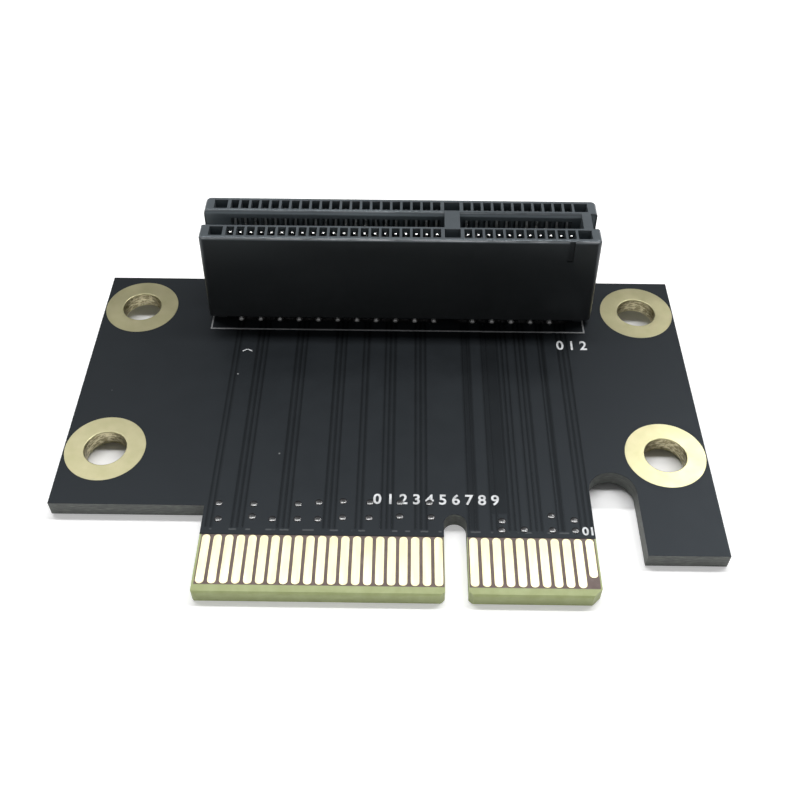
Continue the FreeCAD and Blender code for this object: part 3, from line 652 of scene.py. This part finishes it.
# ---------------------------------------------------------------- printed marks
# White ink screened over the mask: the socket's outline, an index mark at its first contact, and
# small plain numbers in place of a maker's words.

INK_RISE = 0.02 * MM
# Behind its front the outline's ink is painted darker, as painted shade under the housing.
OUTLINE_FRONT = (30.0, 30.3)
OUTLINE_PAINTED_SHADE = 0.65
INK_SPREAD = 0.03 * MM
# A digit's height as a share of the font's size.
DIGIT_SHARE = 0.7
# Name, digits, place of the lower left corner, height and width, in millimetres.
MARKS = [
    ("contact_scale", "0 1 2 3 4 5 6 7 8 9", (-7.25, 9.15), 1.05, 11.2),
    ("socket_scale", "0 1 2", (10.80, 28.50), 1.20, 3.1),
    ("edge_scale", "01", (11.00, 6.10), 0.80, 0.95),
]

ink, tree, shader = new_finish("white_screen_ink")
place = object_place(tree)
thin = noise(tree, place, 2200.0, 3.0)
colour = ramp(tree, thin, [(0.3, (0.50, 0.51, 0.52)), (0.6, (0.82, 0.84, 0.86))])
across, along, up = axes_of(tree, place)
# Painted shade: the outline is painted darker behind its front, where the housing shades it.
outline = product(tree, edge_at(tree, along, *OUTLINE_FRONT), OUTLINE_PAINTED_SHADE)
colour = blend_colours(tree, outline, colour, (0.16, 0.165, 0.17))
tree.links.new(colour, shader.inputs["Base Color"])
shader.inputs["Roughness"].default_value = 0.5
coat_node("socket_outline_print", ink)

for name, digits, (x, y), height, width in MARKS:
    curve = bpy.data.curves.new(name, type="FONT")
    curve.body = digits
    curve.size = height * MM / DIGIT_SHARE
    curve.extrude = INK_RISE / 2
    curve.offset = INK_SPREAD
    writing = bpy.data.objects.new(f"{name}_curve", curve)
    bpy.context.collection.objects.link(writing)
    bpy.context.view_layer.update()
    mesh = bpy.data.meshes.new_from_object(writing.evaluated_get(bpy.context.evaluated_depsgraph_get()))
    bpy.data.objects.remove(writing)
    tool = bmesh.new()
    tool.from_mesh(mesh)
    bpy.data.meshes.remove(mesh)
    widest = max(vert.co.x for vert in tool.verts)
    stretch = width * MM / widest
    bmesh.ops.scale(tool, vec=(stretch, 1.0, 1.0), verts=tool.verts)
    bmesh.ops.translate(tool, vec=(x * MM, y * MM, mask_top + INK_RISE / 2), verts=tool.verts)
    tidy_surface(tool, FINE_MERGE)
    new_piece(name, tool, ink)

CHEVRON_TIP = (-20.45, 28.02)
CHEVRON_BAR = (0.60 * MM, 0.10 * MM, INK_RISE)
CHEVRON_SHIFT = 0.26 * MM
CHEVRON_LEAN = math.radians(28)
tool = bmesh.new()
for way in (-1, 1):
    bar = bmesh.ops.create_cube(tool, size=1.0)["verts"]
    bmesh.ops.scale(tool, vec=CHEVRON_BAR, verts=bar)
    bmesh.ops.translate(tool, vec=(way * CHEVRON_SHIFT, 0.0, 0.0), verts=bar)
    bmesh.ops.rotate(tool, cent=(0.0, 0.0, 0.0), matrix=Matrix.Rotation(-way * CHEVRON_LEAN, 3, "Z"), verts=bar)
    bmesh.ops.translate(tool, vec=(CHEVRON_TIP[0] * MM, CHEVRON_TIP[1] * MM, mask_top + INK_RISE / 2), verts=bar)
tidy_surface(tool, FINE_MERGE)
new_piece("index_mark", tool, ink)


# ---------------------------------------------------------------- floor, light and camera
# A white studio table that the board rests on by its tongue's front edge and its solder tips. One
# long lamp bar hangs over it, a little behind the socket, in a dim white surround.

FLOOR_SIZE = 3.0
# What the table adds to its own white for eyes and mirrors, left out under the board as painted shade.
FLOOR_LIFT = 0.36
# That painted shade's left, right, front and rear, as soft edges.
TABLE_PAINTED_SHADE = ((-36.5, -35.5), (24.0, 23.0), (9.9, 10.4), (40.0, 39.0))
UNDER_SKIN = 0.05 * MM
solder_low, solder_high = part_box("solder_far_outer_row")
board_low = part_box("circuit_board")[0]
rest_rear = Vector((0.0, (solder_low.y + solder_high.y) / 2, solder_low.z))
rest_front = Vector((0.0, 0.0, board_low.z - UNDER_SKIN))
tilt = math.atan2(rest_front.z - rest_rear.z, rest_rear.y - rest_front.y)

floor_tool = bmesh.new()
bmesh.ops.create_grid(floor_tool, x_segments=1, y_segments=1, size=FLOOR_SIZE / 2)
bmesh.ops.rotate(floor_tool, cent=(0.0, 0.0, 0.0), matrix=Matrix.Rotation(-tilt, 3, "X"), verts=floor_tool.verts)
bmesh.ops.translate(floor_tool, vec=rest_front, verts=floor_tool.verts)
floor_mesh = bpy.data.meshes.new("studio_floor")
floor_tool.to_mesh(floor_mesh)
floor_tool.free()
floor = bpy.data.objects.new("studio_floor", floor_mesh)
bpy.context.collection.objects.link(floor)

table_white, tree, shader = new_finish("studio_white")
shader.inputs["Base Color"].default_value = (0.92, 0.92, 0.92, 1.0)
shader.inputs["Roughness"].default_value = 0.9
shader.inputs["Specular IOR Level"].default_value = 0.0
across, along, up = axes_of(tree, object_place(tree))
# Painted shade: a soft box under the board where the table gets no added white.
painted_shade_beneath = product(tree, *(edge_at(tree, way, *edges) for way, edges in zip((across, across, along, along), TABLE_PAINTED_SHADE)))
rays = add_node(tree, "ShaderNodeLightPath")
seen = combine(tree, "MAXIMUM", rays.outputs["Is Camera Ray"], rays.outputs["Is Glossy Ray"])
seen = combine(tree, "MAXIMUM", seen, rays.outputs["Is Transmission Ray"])
lift = product(tree, seen, combine(tree, "SUBTRACT", 1.0, painted_shade_beneath), FLOOR_LIFT)
shader.inputs["Emission Color"].default_value = (1.0, 1.0, 1.0, 1.0)
tree.links.new(lift, shader.inputs["Emission Strength"])
floor_mesh.materials.append(table_white)

world = bpy.data.worlds.new("soft_surround")
bpy.context.scene.world = world
world.use_nodes = True
tree = world.node_tree
surround = tree.nodes["Background"]
surround.inputs["Color"].default_value = (1.0, 1.0, 1.0, 1.0)
direction = add_node(tree, "ShaderNodeTexCoord")
across, along, up = axes_of(tree, direction.outputs["Generated"])
OVERHEAD_LEVEL = 0.09
HORIZON_LEVEL = 0.14
FRONT_LEVEL = 0.42
BACK_LEVEL = 0.22
HIGH_BACK_LEVEL = 0.26
low_down = span(tree, up, 0.65, 0.30)
light = combine(tree, "ADD", product(tree, low_down, HORIZON_LEVEL), OVERHEAD_LEVEL)
front = product(tree, low_down, span(tree, along, -0.10, -0.40, 0.0, FRONT_LEVEL))
back = combine(tree, "ADD", span(tree, up, 0.40, 0.65, 0.0, BACK_LEVEL),
               span(tree, up, 0.72, 0.88, 0.0, HIGH_BACK_LEVEL))
back = product(tree, back, span(tree, along, 0.10, 0.40))
light = combine(tree, "ADD", light, combine(tree, "ADD", front, back))
rays = add_node(tree, "ShaderNodeLightPath")
seen = combine(tree, "MAXIMUM", rays.outputs["Is Camera Ray"], rays.outputs["Is Transmission Ray"])
tree.links.new(combine(tree, "MAXIMUM", light, seen), surround.inputs["Strength"])

LAMP_AIM = 0.03


def soft_lamp(name, place, size, power):
    """A rectangular lamp along the board's width, leaning towards the board's middle line."""
    lamp = bpy.data.lights.new(name, type="AREA")
    lamp.shape = "RECTANGLE"
    lamp.size, lamp.size_y = size
    lamp.energy = power
    item = bpy.data.objects.new(name, lamp)
    bpy.context.collection.objects.link(item)
    item.location = place
    item.rotation_euler = Vector((0.0, LAMP_AIM - place[1], -place[2])).to_track_quat("-Z", "Y").to_euler()


soft_lamp("lamp_bar", (0.04, 0.13, 0.41), (0.62, 0.045), 1.72)
soft_lamp("rear_lamp_left", (-0.20, 0.26, 0.33), (0.17, 0.045), 0.05)
soft_lamp("rear_lamp_right", (0.20, 0.26, 0.33), (0.17, 0.045), 0.24)

CAMERA_PLACE = (-0.00467, -0.04256, 0.07410)
CAMERA_FORWARD = (-0.0033, 0.6614, -0.7500)
CAMERA_RIGHT = (0.9999, 0.0114, 0.0057)
camera_data = bpy.data.cameras.new("camera")
camera_data.lens = 45.0
camera_data.sensor_width = 36.0
camera_data.clip_start = 0.001
camera = bpy.data.objects.new("camera", camera_data)
bpy.context.collection.objects.link(camera)
forward = Vector(CAMERA_FORWARD).normalized()
right = Vector(CAMERA_RIGHT).normalized()
upward = right.cross(forward).normalized()
right = forward.cross(upward)
camera.matrix_world = Matrix.Translation(CAMERA_PLACE) @ Matrix((right, upward, -forward)).transposed().to_4x4()
bpy.context.scene.camera = camera
bpy.context.scene.view_settings.view_transform = "Standard"
